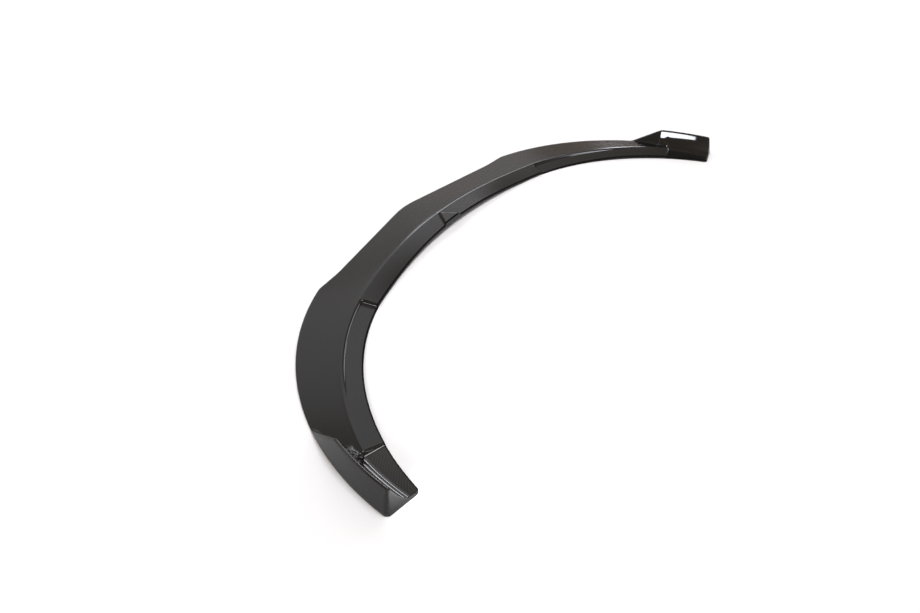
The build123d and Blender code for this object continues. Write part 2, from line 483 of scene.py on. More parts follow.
@dataclass
class LipForm:
    """Heights and roundings of the lip's surfaces, in millimetres and degrees.

    The scoop at the foot of the fence's inner face starts in two goes, at the ramp's top and at the joggle.
    The land_scoop is the share of the first.
    """

    wall: float = 3.0
    edge_height: float = 5.0
    crest_middle_height: float = 27.0
    crest_side_height: float = 19.0
    inner_middle_height: float = 22.0
    inner_side_height: float = 9.0
    crest_blend: float = 0.8
    arch_half_span: float = 350.0
    flange_height: float = 10.0
    recess_depth: float = 5.5
    recess_end_angle: float = 33.0
    recess_run: float = 9.0
    pocket_outer_height: float = 9.5
    pocket_inner_height: float = 7.0
    joggle_run: float = 11.0
    fence_height: float = 62.0
    fence_band: float = 6.5
    fence_lean: float = 16.0
    fence_base: float = 45.0
    rim_width: float = 5.0
    rim_blend: float = 3.0
    foot_blend: float = 36.0
    plate_blend: float = 5.0
    ramp_top_angle: float = 19.7
    scoop_turn: float = 1.0
    land_scoop: float = 0.78
    end_draft: float = 12.0
    end_foot: float = 2.5
    end_blend: float = 5.0
    upright_blend: float = 40.0
    pad_width: float = 84.0
    pad_height: float = 8.0
    pad_draft: float = 25.0
    pad_sink: float = 4.0
    pad_blend: float = 3.0
    outer_round: float = 2.0
    inner_round: float = 3.0
    least_round: float = 0.5
    trimmed_edge: float = 4.0
    lowest: float = 1.2


@dataclass(frozen=True)
class Facet:
    """A flat facet: a point of it and a direction out of it, upwards."""

    point: np.ndarray
    facing: np.ndarray

    def heights(self, place: np.ndarray, inset: float) -> np.ndarray:
        """Heights of the facet, set in by an inset, above plan points."""
        rise = (place - self.point[:2]) @ self.facing[:2] / self.facing[2]
        return self.point[2] - rise - inset * np.linalg.norm(self.facing) / self.facing[2]


@dataclass
class Sections:
    """Grid of plan points over one half of the lip; rows follow each other across it and columns along it.

    Attributes:
        place: plan points.
        across: distance of each point from the outer edge.
        crest_at: distance of the crest from the outer edge in each column.
        width: width of the lip in each column.
        rise: share of the middle's extra height in each column.
        past_step: distance of each column past the step, along the crest.
        ahead: distance of each point ahead of the end wall.
    """

    place: np.ndarray
    across: np.ndarray
    crest_at: np.ndarray
    width: np.ndarray
    rise: np.ndarray
    past_step: np.ndarray
    ahead: np.ndarray


@dataclass
class Skin:
    """Points of both halves of a skin, in millimetres.

    Attributes:
        points: points of the whole grid, then those of the lower edge below its border.
        index: numbers of the grid's points, row by row.
        border: numbers of the points round the grid's border, in order.
        grid: plan points of the half that the skin is made from.
    """

    points: np.ndarray
    index: np.ndarray
    border: np.ndarray
    grid: Sections


class NodeDesk:
    """Short ways to add and link nodes of a tree."""

    def __init__(self, tree: bpy.types.NodeTree) -> None:
        """Keep the tree."""
        self.tree = tree

    @staticmethod
    def used(sockets: Iterable[Socket]) -> list[Socket]:
        """Sockets that a node's settings leave in use."""
        return [socket for socket in sockets if socket.enabled]

    def add(self, kind: str, **settings: object) -> bpy.types.Node:
        """Add a node.

        Args:
            kind: type of the node.
            settings: its settings by name.

        Returns:
            The node.
        """
        node = self.tree.nodes.new(kind)
        for key, value in settings.items():
            setattr(node, key, value)
        return node

    def link(self, source: Socket, target: Socket) -> None:
        """Link two sockets."""
        self.tree.links.new(source, target)

    def feed(self, target: Socket, value: Feed) -> None:
        """Link a socket or set a constant on it.

        Args:
            target: socket of a node's input.
            value: socket to link to it, or the constant.
        """
        if isinstance(value, Socket):
            self.link(value, target)
        else:
            target.default_value = value

    def math(self, operation: str, *values: Feed) -> Socket:
        """Add a math node.

        Args:
            operation: what it works out.
            values: its inputs in order.

        Returns:
            Socket with the result.
        """
        node = self.add("ShaderNodeMath", operation=operation)
        for target, value in zip(node.inputs, values):
            self.feed(target, value)
        return node.outputs[0]

    def along(self, way: Socket, axis: Vector) -> Socket:
        """Part of a direction along an axis.

        Args:
            way: socket with the direction.
            axis: the axis, of length 1.

        Returns:
            Socket with the part.
        """
        node = self.add("ShaderNodeVectorMath", operation="DOT_PRODUCT")
        self.link(way, node.inputs[0])
        node.inputs[1].default_value = axis
        return node.outputs["Value"]

    def mix(self, share: Socket, low: Feed, high: Feed, kind: str = "FLOAT") -> Socket:
        """Add a mix node.

        Args:
            share: socket with the share of the second value.
            low: the first value.
            high: the second value.
            kind: type of the values.

        Returns:
            Socket with the value between the two.
        """
        node = self.add("ShaderNodeMix", data_type=kind)
        for target, value in zip(self.used(node.inputs), (share, low, high)):
            self.feed(target, value)
        return self.used(node.outputs)[0]


class LaminateTree:
    """Geometry nodes that turn the outer skin into a closed wall.

    Each point of the skin carries the place of its partner on the inner skin. The tree lays a turned copy of
    the skin there, closes the lower edge between the two, welds them and gives each region its finish.
    """

    PLACE = "inner_place"
    REGION = "region"

    def __init__(self, weld: float = 1e-6) -> None:
        """Make the tree.

        Args:
            weld: distance below which points are joined, in metres.
        """
        self.weld = weld
        self.desk = NodeDesk(bpy.data.node_groups.new("laminate_wall", "GeometryNodeTree"))
        self.sockets: dict[str, str] = {}
        self._build()

    def _socket(self, name: str, kind: str, way: str = "INPUT") -> None:
        """Add a named socket to the tree and remember its identifier."""
        item = self.desk.tree.interface.new_socket(name, in_out=way, socket_type=kind)
        self.sockets[name] = item.identifier

    def _attribute(self, name: str, kind: str) -> Socket:
        """Read a named attribute of the skin.

        Args:
            name: name of the attribute.
            kind: type of its values.

        Returns:
            Socket with the values.
        """
        node = self.desk.add("GeometryNodeInputNamedAttribute", data_type=kind)
        node.inputs["Name"].default_value = name
        return node.outputs["Attribute"]

    def _equals(self, value: Socket, number: int) -> Socket:
        """Compare a whole number with a given one.

        Args:
            value: socket with the number to compare.
            number: the given number.

        Returns:
            Socket that is true where they are the same.
        """
        node = self.desk.add("FunctionNodeCompare", data_type="INT", operation="EQUAL")
        for target, part in zip(self.desk.used(node.inputs), (value, number)):
            self.desk.feed(target, part)
        return node.outputs["Result"]

    def _bared(self, source: Socket) -> Socket:
        """Count geometry as bare.

        Args:
            source: socket with the geometry.

        Returns:
            Socket with the geometry, all its faces in the bare region.
        """
        node = self.desk.add("GeometryNodeStoreNamedAttribute", data_type="INT", domain="FACE")
        self.desk.link(source, node.inputs["Geometry"])
        node.inputs["Name"].default_value = self.REGION
        node.inputs["Value"].default_value = Region.BARE.value
        return node.outputs["Geometry"]

    def _dressed(self, source: Socket, material: Socket, selection: Socket | None = None) -> Socket:
        """Set a material on geometry.

        Args:
            source: socket with the geometry.
            material: socket with the material.
            selection: socket that is true on the faces to dress, or nothing for all of them.

        Returns:
            Socket with the dressed geometry.
        """
        node = self.desk.add("GeometryNodeSetMaterial")
        self.desk.link(source, node.inputs["Geometry"])
        self.desk.link(material, node.inputs["Material"])
        if selection is not None:
            self.desk.link(selection, node.inputs["Selection"])
        return node.outputs["Geometry"]

    def _build(self) -> None:
        """Lay out the nodes."""
        add, link = self.desk.add, self.desk.link
        self._socket("Skin", "NodeSocketGeometry")
        self._socket("Weld", "NodeSocketFloat")
        for region in Region:
            self._socket(region.name, "NodeSocketMaterial")
        self._socket("Wall", "NodeSocketGeometry", "OUTPUT")
        start = add("NodeGroupInput")
        end = add("NodeGroupOutput")
        skin = start.outputs["Skin"]
        place = self._attribute(self.PLACE, "FLOAT_VECTOR")

        inner = add("GeometryNodeSetPosition")
        link(skin, inner.inputs["Geometry"])
        link(place, inner.inputs["Position"])
        turned = add("GeometryNodeFlipFaces")
        link(inner.outputs["Geometry"], turned.inputs["Mesh"])

        beside = add("GeometryNodeInputMeshEdgeNeighbors")
        rim = add("GeometryNodeExtrudeMesh", mode="EDGES")
        rim.inputs["Offset Scale"].default_value = 0.0
        link(skin, rim.inputs["Mesh"])
        link(self._equals(beside.outputs["Face Count"], 1), rim.inputs["Selection"])
        moved = add("GeometryNodeSetPosition")
        link(rim.outputs["Mesh"], moved.inputs["Geometry"])
        link(rim.outputs["Top"], moved.inputs["Selection"])
        link(place, moved.inputs["Position"])
        closed = add("GeometryNodeSeparateGeometry", domain="FACE")
        link(moved.outputs["Geometry"], closed.inputs["Geometry"])
        link(rim.outputs["Side"], closed.inputs["Selection"])

        joined = add("GeometryNodeJoinGeometry")
        for part in (self._bared(closed.outputs["Selection"]), self._bared(turned.outputs["Mesh"]), skin):
            link(part, joined.inputs["Geometry"])
        welded = add("GeometryNodeMergeByDistance")
        link(joined.outputs["Geometry"], welded.inputs["Geometry"])
        link(start.outputs["Weld"], welded.inputs["Distance"])
        whole = add("GeometryNodeRealizeInstances")
        link(welded.outputs["Geometry"], whole.inputs["Geometry"])
        wall = self._dressed(whole.outputs["Geometry"], start.outputs[Region.PLATE.name])
        number = self._attribute(self.REGION, "INT")
        for region in (Region.POCKET, Region.BARE):
            wall = self._dressed(wall, start.outputs[region.name], self._equals(number, region.value))
        link(wall, end.inputs["Wall"])

    def close(self, skin: bpy.types.Object, finishes: dict[Region, bpy.types.Material]) -> bpy.types.Mesh:
        """Run the tree on a skin.

        Args:
            skin: object with the outer skin's mesh.
            finishes: material of each region.

        Returns:
            The closed wall as a plain mesh.
        """
        modifier = skin.modifiers.new("laminate_wall", "NODES")
        modifier.node_group = self.desk.tree
        modifier[self.sockets["Weld"]] = self.weld
        for region, material in finishes.items():
            modifier[self.sockets[region.name]] = material
        bpy.context.view_layer.update()
        ready = skin.evaluated_get(bpy.context.evaluated_depsgraph_get())
        mesh = bpy.data.meshes.new_from_object(ready)
        skin.modifiers.remove(modifier)
        return mesh


@dataclass
class SplitterLip:
    """The moulded lip: its outer skin from the plan and heights, then its wall and finish.

    Attributes:
        nose_y: place of the nose in the frame, in metres.
        plan: the lip seen from above.
        form: heights of its surfaces.
        row_counts: number of rows in each band across the lip, from the outer edge to the inner one.
        crest_margin: how far ahead of the crest its band starts, in millimetres like the other margins.
        crest_gap: least distance of that band behind the fence's foot.
        rim_margin: how far the rim's band reaches past the rim on both sides.
        foot_ahead: how far ahead of the fence's foot its band starts.
        foot_behind: how far behind the fence's foot its band ends.
        end_span: number of the first stretch past the joggle.
        slack: slack for rounding when distances are compared.
        sharp_angle: bend in degrees past which an edge is shaded sharp.
    """

    nose_y: float
    plan: LipPlan = field(default_factory=LipPlan)
    form: LipForm = field(default_factory=LipForm)
    row_counts: tuple[int, ...] = (4, 7, 10, 5, 9, 6, 14, 18, 5)
    crest_margin: float = 1.0
    crest_gap: float = 5.0
    rim_margin: float = 2.0
    foot_ahead: float = 11.0
    foot_behind: float = 3.0
    end_span: int = 3
    slack: float = 0.01
    sharp_angle: float = 50.0

    @property
    def shift(self) -> float:
        """Place of the plan's sharp nose point in the frame, in millimetres."""
        return self.nose_y / MM - self.plan.nose_tip

    def _rows(self, crest_at: np.ndarray, width: np.ndarray) -> np.ndarray:
        """Space the rows across the lip, closely where it bends.

        Args:
            crest_at: distance of the crest from the outer edge in each column.
            width: width of the lip in each column.

        Returns:
            Distance of every row from the outer edge in each column.
        """
        form = self.form
        foot = form.fence_base
        crest = np.maximum(crest_at - self.crest_margin, foot + self.crest_gap)
        fixed = [
            0.0,
            form.outer_round,
            form.fence_lean - self.rim_margin,
            form.fence_lean + form.rim_width + self.rim_margin,
            foot - self.foot_ahead,
            foot + self.foot_behind,
        ]
        stops = [np.full_like(width, value) for value in fixed]
        stops += [crest, crest + self.crest_margin + form.recess_run, width - form.trimmed_edge, width]
        rows = []
        for low, high, count in zip(stops, stops[1:], self.row_counts):
            rows += [low + (high - low) * n / count for n in range(count)]
        return np.stack([*rows, width])

    def sections(self, inset: float) -> Sections:
        """Lay the grid of plan points over one half.

        Args:
            inset: how far the outline is set in.

        Returns:
            The plan points and what the heights need there.
        """
        plan = self.plan
        spans = plan.spans()
        walked = -spans[0].crest.length
        parts = []
        for number, span in enumerate(spans):
            shares = span.shares if number == 0 else span.shares[1:]
            lines = [path.at(shares) for path in (span.outer, span.crest, span.inner)]
            rise = (1 + np.cos(np.pi * np.minimum(number + shares, 1.0))) / 2
            past_step = walked + shares * span.crest.length
            end_share = np.clip(number - self.end_span + shares, 0.0, 1.0)
            parts.append((*lines, rise, past_step, end_share))
            walked += span.crest.length
        outer, crest, inner, rise, past_step, end_share = (np.concatenate(part) for part in zip(*parts))
        crest_at = np.linalg.norm(crest - outer, axis=1)
        width = crest_at + np.linalg.norm(inner - crest, axis=1)

        across = inset + self._rows(crest_at, width) * (width - 2 * inset) / width
        front = np.clip(across / crest_at, 0.0, 1.0)[..., None]
        back = np.clip((across - crest_at) / (width - crest_at), 0.0, 1.0)[..., None]
        place = np.where(back > 0, between(crest, inner, back), between(outer, crest, front))
        place = place - plan.rearward * inset * end_share[:, None]
        place = self._rounded_ends(place, across, width, inset)
        ahead = (plan.end_corner - place) @ plan.rearward
        return Sections(place, across, crest_at, width, rise, past_step, ahead)

    def _rounded_ends(
        self, place: np.ndarray, across: np.ndarray, width: np.ndarray, inset: float
    ) -> np.ndarray:
        """Round the two corners of the end wall in plan.

        Args:
            place: plan points.
            across: distance of each point from the outer edge.
            width: width of the lip in each column.
            inset: how far the outline is set in.

        Returns:
            The plan points, moved where a corner is rounded.
        """
        plan = self.plan
        radius = plan.end_round - inset
        ahead = (plan.end_corner - place) @ plan.rearward
        back = np.clip(1 - (ahead - inset) / radius, 0.0, 1.0)
        for sign, distance in ((1, across - inset), (-1, width - across - inset)):
            side = np.clip(1 - distance / radius, 0.0, 1.0)
            pull_side = side * (1 - np.sqrt(1 - back**2 / 2)) * radius * sign
            pull_back = back * (1 - np.sqrt(1 - side**2 / 2)) * radius
            place = place + pull_side[..., None] * plan.end_inwards - pull_back[..., None] * plan.rearward
        return place

    def heights(self, grid: Sections, inset: float) -> np.ndarray:
        """Heights of the skin over the grid.

        Args:
            grid: plan points of one half.
            inset: how far the skin lies inside the moulding's outer surface.

        Returns:
            Height of each plan point, in millimetres.
        """
        form, plan = self.form, self.plan
        crest = between(form.crest_side_height, form.crest_middle_height, grid.rise)
        inner = between(form.inner_side_height, form.inner_middle_height, grid.rise)
        past_crest = grid.across - grid.crest_at
        front = crest + (crest - form.edge_height) * past_crest / grid.crest_at
        land = crest - (crest - inner) * past_crest / (grid.width - grid.crest_at)
        crown = smooth_min(front, land, form.crest_blend) - inset
        crown = crown - self._recess(grid, past_crest, inset)
        crown = smooth_max(crown, self._pad(grid, land, inset), form.pad_blend)

        radius, angle = plan.polar(grid.place)
        past_joggle = np.radians(plan.joggle_angle - angle) * radius + inset
        floor = np.minimum(self._pocket_floor(radius) - inset, crown)
        base = between(crown, floor, ogee(past_joggle / form.joggle_run))
        top = smooth_max(base, self._fence(grid.place, radius, inset), self._foot_blend(radius, angle))

        outward = form.fence_lean - plan.side_radius + radius
        # The change of rounding is half done at the top of the outer face.
        upright = smooth_step(0.5 + outward / form.fence_lean)
        blend = between(form.end_blend, form.upright_blend, upright)
        top = smooth_min(top, self._end_wall(grid, inset), blend)
        for distance, rounding in (
            (grid.across, form.outer_round),
            (grid.width - grid.across, form.inner_round),
        ):
            top = top - edge_drop(distance - inset, max(rounding - inset, form.least_round))
        return np.maximum(top, form.lowest)

    def _recess(self, grid: Sections, past_crest: np.ndarray, inset: float) -> np.ndarray:
        """Depth of the stepped recess in the land.

        Args:
            grid: plan points of one half.
            past_crest: distance of each point behind the crest.
            inset: how far the skin is set in.

        Returns:
            Depth at each point.
        """
        form, plan = self.form, self.plan
        side = grid.past_step[-1]
        length = side * (plan.step_angle - form.recess_end_angle) / (plan.step_angle - plan.end_angle)
        depth = form.recess_depth * np.clip(1 - grid.past_step / length, 0.0, 1.0)
        inside = brow((past_crest + inset) / form.recess_run)
        return depth * inside * brow((grid.past_step + inset) / form.recess_run)

    def _pad(self, grid: Sections, land: np.ndarray, inset: float) -> np.ndarray:
        """Height of the raised three-cornered pad in the middle of the land.

        Args:
            grid: plan points of one half.
            land: height of the land without the pad.
            inset: how far the skin is set in.

        Returns:
            Height at each point; outside the pad it lies below the land.
        """
        form, plan = self.form, self.plan
        side = np.array([form.pad_width / 2, plan.inner_middle_back - plan.crest_middle_back])
        inwards = np.array([-side[1], side[0]]) / np.linalg.norm(side)
        depth = (grid.place - np.array([0.0, plan.crest_middle_back])) @ inwards
        flank = slope_height(land - form.pad_sink, steepness(form.pad_draft), depth, inset)
        return smooth_min(land + form.pad_height - inset, flank, form.pad_blend)

    def _end_wall(self, grid: Sections, inset: float) -> np.ndarray:
        """Height of the sloped end wall's face above plan points, set in by an inset."""
        return slope_height(self.form.end_foot, steepness(self.form.end_draft), grid.ahead, inset)

    def _pocket_floor(self, radius: Numbers) -> Numbers:
        """Height of the lowered pocket's floor.

        Args:
            radius: distances from the side arc's centre.

        Returns:
            Height at each distance.
        """
        form, plan = self.form, self.plan
        fall = form.pocket_outer_height - form.pocket_inner_height
        inwards = plan.side_radius - form.fence_base - radius
        return form.pocket_outer_height - fall * inwards / (plan.width_at_end - form.fence_base)

    def _foot_blend(self, radius: np.ndarray, angle: np.ndarray) -> np.ndarray:
        """Rounding between the fence and what it stands on, wide at the scooped foot of its inner face.

        Args:
            radius: distance of each point from the side arc's centre.
            angle: angle of each point about it.

        Returns:
            Difference of height below which the two are blended.
        """
        form, plan = self.form, self.plan
        past_rim = smooth_step((plan.side_radius - radius) / form.fence_lean - 1)
        past_ramp = smooth_step((form.ramp_top_angle - angle) / form.scoop_turn + 1)
        in_pocket = smooth_step((plan.joggle_angle - angle) / form.scoop_turn + 1)
        hollow = past_rim * (form.land_scoop * past_ramp + (1 - form.land_scoop) * in_pocket)
        return between(form.plate_blend, form.foot_blend, hollow)

    def _fence(self, place: np.ndarray, radius: np.ndarray, inset: float) -> np.ndarray:
        """Height of the upright fence with its ramp.

        Args:
            place: plan points.
            radius: distance of each point from the side arc's centre.
            inset: how far the skin is set in.

        Returns:
            Height at each point.
        """
        form, plan = self.form, self.plan
        depth = plan.side_radius - radius
        outer_rise = (form.fence_height - form.fence_band) / form.fence_lean
        fence = slope_height(form.fence_band, outer_rise, depth, inset)
        rim = np.full_like(fence, form.fence_height - inset)
        foot = self._pocket_floor(plan.side_radius - form.fence_base)
        inner_run = form.fence_base - form.fence_lean - form.rim_width
        inner_rise = (foot - form.fence_height) / inner_run
        inner_depth = depth - form.fence_lean - form.rim_width
        inner = slope_height(form.fence_height, inner_rise, inner_depth, inset)
        ramp = [facet.heights(place, inset) for facet in self._ramp_facets(foot)]
        for face in (rim, inner, *ramp):
            fence = smooth_min(fence, face, form.rim_blend)
        return fence

    def _ramp_facets(self, foot: float) -> list[Facet]:
        """The narrow ramp that climbs to the rim, and its flank.

        Args:
            foot: height of the foot of the fence's inner face.

        Returns:
            The two flat facets.
        """
        form, plan = self.form, self.plan
        ramp_foot = plan.around(plan.side_radius, plan.ramp_foot_angle)
        ramp_top = plan.around(plan.side_radius - form.fence_lean, form.ramp_top_angle)
        flank_foot = plan.around(plan.side_radius - form.fence_base, form.ramp_top_angle)
        start = np.array([*ramp_foot, form.edge_height])
        climb = np.array([*ramp_top, form.fence_height]) - start
        sideways = np.cross(np.array(UP), climb)
        ridge = start + sideways * form.rim_width / np.linalg.norm(sideways)
        down = np.array([*flank_foot, foot]) - ridge
        return [Facet(start, np.cross(climb, sideways)), Facet(ridge, np.cross(climb, down))]

    def _flange_foot(self, x: np.ndarray) -> np.ndarray:
        """Height of the inner flange's foot, which is arched in the middle.

        Args:
            x: distances from the middle line.

        Returns:
            Height at each distance.
        """
        form = self.form
        lift = form.inner_middle_height - form.flange_height
        radius = (form.arch_half_span**2 + lift**2) / (2 * lift)
        return np.maximum(np.sqrt(np.maximum(radius**2 - x**2, 0.0)) - radius + lift, 0.0)

    def _full_skin(self, inset: float) -> Skin:
        """Skin of both halves, with its lower edge.

        Args:
            inset: how far the skin lies inside the moulding's outer surface.

        Returns:
            The skin's points in the frame's directions.
        """
        grid = self.sections(inset)
        half = np.concatenate([grid.place, self.heights(grid, inset)[..., None]], axis=-1)
        half[..., 1] += self.shift
        other = half[:, :0:-1] * np.array([-1.0, 1.0, 1.0])
        full = np.concatenate([other, half], axis=1)
        points = full.reshape(-1, 3)
        index = np.arange(len(points)).reshape(full.shape[:2])
        border = np.concatenate([index[0, :-1], index[:-1, -1], index[-1, :0:-1], index[:0:-1, 0]])
        below = points[border]
        inner_side = np.isin(border, index[-1])
        below[:, 2] = np.where(inner_side, self._flange_foot(below[:, 0]), 0.0)
        return Skin(np.concatenate([points, below]), index, border, grid)

    def _cloth_places(self, skin: Skin) -> np.ndarray:
        """Lay the cloth over a skin.

        Args:
            skin: the skin that the cloth follows.

        Returns:
            Place of every point on the cloth, in metres along and across it.
        """
        rows, columns = skin.index.shape
        steps = np.linalg.norm(np.diff(skin.points[skin.index], axis=0), axis=-1)
        across = np.concatenate([np.zeros((1, columns)), np.cumsum(steps, axis=0)])
        half = skin.grid.past_step - skin.grid.past_step[0]
        along = np.broadcast_to(np.concatenate([-half[:0:-1], half]), across.shape)
        places = np.stack([along, across], axis=-1).reshape(-1, 2)
        drop = skin.points[skin.border, 2] - skin.points[skin.index.size:, 2]
        below = places[skin.border]
        row, column = np.divmod(skin.border, columns)
        for axis, number, last in ((0, column, columns - 1), (1, row, rows - 1)):
            below[:, axis] += np.where(number == last, drop, np.where(number == 0, -drop, 0.0))
        return np.concatenate([places, below]) * MM

    def _regions(self, grid: Sections) -> np.ndarray:
        """Divide the skin among the finishes.

        Args:
            grid: plan points of one half.

        Returns:
            Region of every face of the whole grid.
        """
        form, plan = self.form, self.plan
        _, angle = plan.polar(grid.place)
        on_top = self.heights(grid, 0.0) < self._end_wall(grid, 0.0) - form.end_blend
        on_fence = (grid.across < form.fence_base) & (angle < form.ramp_top_angle)
        inside = (grid.across > form.fence_lean) & ((angle < plan.joggle_angle) | on_fence)
        trimmed = grid.width - grid.across < form.trimmed_edge + self.slack
        half = np.where(inside & on_top, Region.POCKET.value, Region.PLATE.value)
        half = np.where(trimmed, Region.BARE.value, half)[:-1, 1:]
        return np.concatenate([half[:, ::-1], half], axis=1).reshape(-1)

    def _skin_mesh(self) -> bpy.types.Mesh:
        """Make the outer skin.

        Returns:
            Mesh that carries the places of the inner skin, the regions and the cloth.
        """
        outer = self._full_skin(0.0)
        inner = self._full_skin(self.form.wall)
        index, border = outer.index, outer.border
        corners = [index[:-1, :-1], index[:-1, 1:], index[1:, 1:], index[1:, :-1]]
        quads = np.stack(corners, axis=-1).reshape(-1, 4)
        below = index.size + np.arange(len(border))
        skirt = np.stack([below, np.roll(below, -1), np.roll(border, -1), border], axis=-1)
        faces = np.concatenate([quads, skirt])
        regions = np.concatenate([self._regions(outer.grid), np.full(len(skirt), Region.PLATE.value)])

        mesh = bpy.data.meshes.new("lip_skin")
        mesh.from_pydata((outer.points * MM).tolist(), [], faces.tolist())
        places = mesh.attributes.new(LaminateTree.PLACE, "FLOAT_VECTOR", "POINT")
        places.data.foreach_set("vector", (inner.points * MM).astype(np.float32).ravel())
        region = mesh.attributes.new(LaminateTree.REGION, "INT", "FACE")
        region.data.foreach_set("value", regions.astype(np.int32))
        layer = mesh.uv_layers.new(name=CLOTH_MAP)
        cloth = self._cloth_places(outer)
        layer.data.foreach_set("uv", cloth[faces.ravel()].astype(np.float32).ravel())
        return mesh

    def build(self, tree: LaminateTree, finishes: dict[Region, bpy.types.Material]) -> bpy.types.Object:
        """Make the lip's object.

        Args:
            tree: nodes that close the skin into a wall.
            finishes: material of each region.

        Returns:
            The finished piece, riding on the frame in place of the solid.
        """
        skin = bpy.data.objects.new("lip_skin", self._skin_mesh())
        bpy.context.scene.collection.objects.link(skin)
        closed = tree.close(skin, finishes)
        bpy.data.objects.remove(skin)
        for name in (LaminateTree.PLACE, LaminateTree.REGION):
            closed.attributes.remove(closed.attributes[name])
        closed.polygons.foreach_set("use_smooth", np.ones(len(closed.polygons), dtype=bool))
        closed.set_sharp_from_angle(angle=math.radians(self.sharp_angle))
        lip = bpy.data.objects.new("lip_shell", closed)
        bpy.context.scene.collection.objects.link(lip)
        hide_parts(LIP_NODE)
        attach(lip, "root")
        return lip


@dataclass(frozen=True)
class CarbonFinish:
    """Carbon cloth in resin: twill weave, with or without a clear coat.

    A tow is one flat bundle of fibres; its width and height are in metres. The twill repeats after some tows,
    and the warp lies on top in those that count below warp_top.
    """

    name: str
    # Dark carbon tones of weft and warp tows; the warp's lighter tone is a painted sheen of the weave.
    weft_tone_and_sheen: float = 0.004
    warp_tone_and_sheen: float = 0.009
    tint: Triple = (1.0, 0.95, 0.9)
    roughness: tuple[float, float] = (0.42, 0.5)
    coat: float = 1.0
    coat_roughness: float = 0.03
    specular: float = 0.02
    ior: float = 1.5
    relief: float = 0.05
    tow: float = 0.002
    tow_height: float = 0.0002
    twill_repeat: float = 4.0
    warp_top: float = 1.5
    # Tone between tows and the gain on their middles: painted shade in the grooves and painted light on the
    # tows.
    groove_painted_shade: float = 0.6
    ridge_painted_light: float = 0.5
    cloud: float = 0.25
    cloud_scale: float = 9.0
    cloud_detail: float = 3.0

    def material(self) -> bpy.types.Material:
        """Build the finish from nodes.

        Returns:
            The material.
        """
        material = bpy.data.materials.new(self.name)
        material.use_nodes = True
        desk = NodeDesk(material.node_tree)
        shader = material.node_tree.nodes["Principled BSDF"]
        shader.inputs["Coat Weight"].default_value = self.coat
        shader.inputs["Coat Roughness"].default_value = self.coat_roughness
        shader.inputs["IOR"].default_value = self.ior
        shader.inputs["Specular IOR Level"].default_value = self.specular

        cloth = desk.add("ShaderNodeUVMap", uv_map=CLOTH_MAP).outputs["UV"]
        split = desk.add("ShaderNodeSeparateXYZ")
        desk.link(cloth, split.inputs[0])
        warp = desk.math("DIVIDE", split.outputs["X"], self.tow)
        weft = desk.math("DIVIDE", split.outputs["Y"], self.tow)
        count = desk.math("ADD", desk.math("FLOOR", warp), desk.math("FLOOR", weft))
        phase = desk.math("FLOORED_MODULO", count, self.twill_repeat)
        warp_up = desk.math("LESS_THAN", phase, self.warp_top)
        ridge = desk.mix(warp_up, self._ridge(desk, weft), self._ridge(desk, warp))

        cloud = desk.add("ShaderNodeTexNoise")
        cloud.inputs["Scale"].default_value = self.cloud_scale
        cloud.inputs["Detail"].default_value = self.cloud_detail
        desk.link(desk.add("ShaderNodeTexCoord").outputs["Object"], cloud.inputs["Vector"])
        cloudiness = desk.math("MULTIPLY_ADD", cloud.outputs["Fac"], self.cloud, 1 - self.cloud / 2)
        # Warp tows lighter than weft tows: painted sheen.
        tone = desk.mix(warp_up, self.weft_tone_and_sheen, self.warp_tone_and_sheen)
        # Painted shade between the tows and painted light on their middles.
        painted_relief_shading = desk.math("MULTIPLY_ADD", ridge, self.ridge_painted_light, self.groove_painted_shade)
        tone = desk.math("MULTIPLY", desk.math("MULTIPLY", tone, painted_relief_shading), cloudiness)
        colour = desk.add("ShaderNodeCombineColor")
        for socket, part in zip(colour.inputs, self.tint):
            desk.link(desk.math("MULTIPLY", tone, part), socket)
        desk.link(colour.outputs["Color"], shader.inputs["Base Color"])
        desk.link(desk.mix(warp_up, *self.roughness), shader.inputs["Roughness"])

        bump = desk.add("ShaderNodeBump")
        bump.inputs["Strength"].default_value = self.relief
        bump.inputs["Distance"].default_value = self.tow_height
        desk.link(ridge, bump.inputs["Height"])
        desk.link(bump.outputs["Normal"], shader.inputs["Normal"])
        return material

    @staticmethod
    def _ridge(desk: NodeDesk, position: Socket) -> Socket:
        """Rounded profile across the tows: 0 between two of them and 1 on the middle of each."""
        centred = desk.math("MULTIPLY_ADD", desk.math("FRACT", position), 2.0, -1.0)
        return desk.math("SUBTRACT", 1.0, desk.math("MULTIPLY", centred, centred))


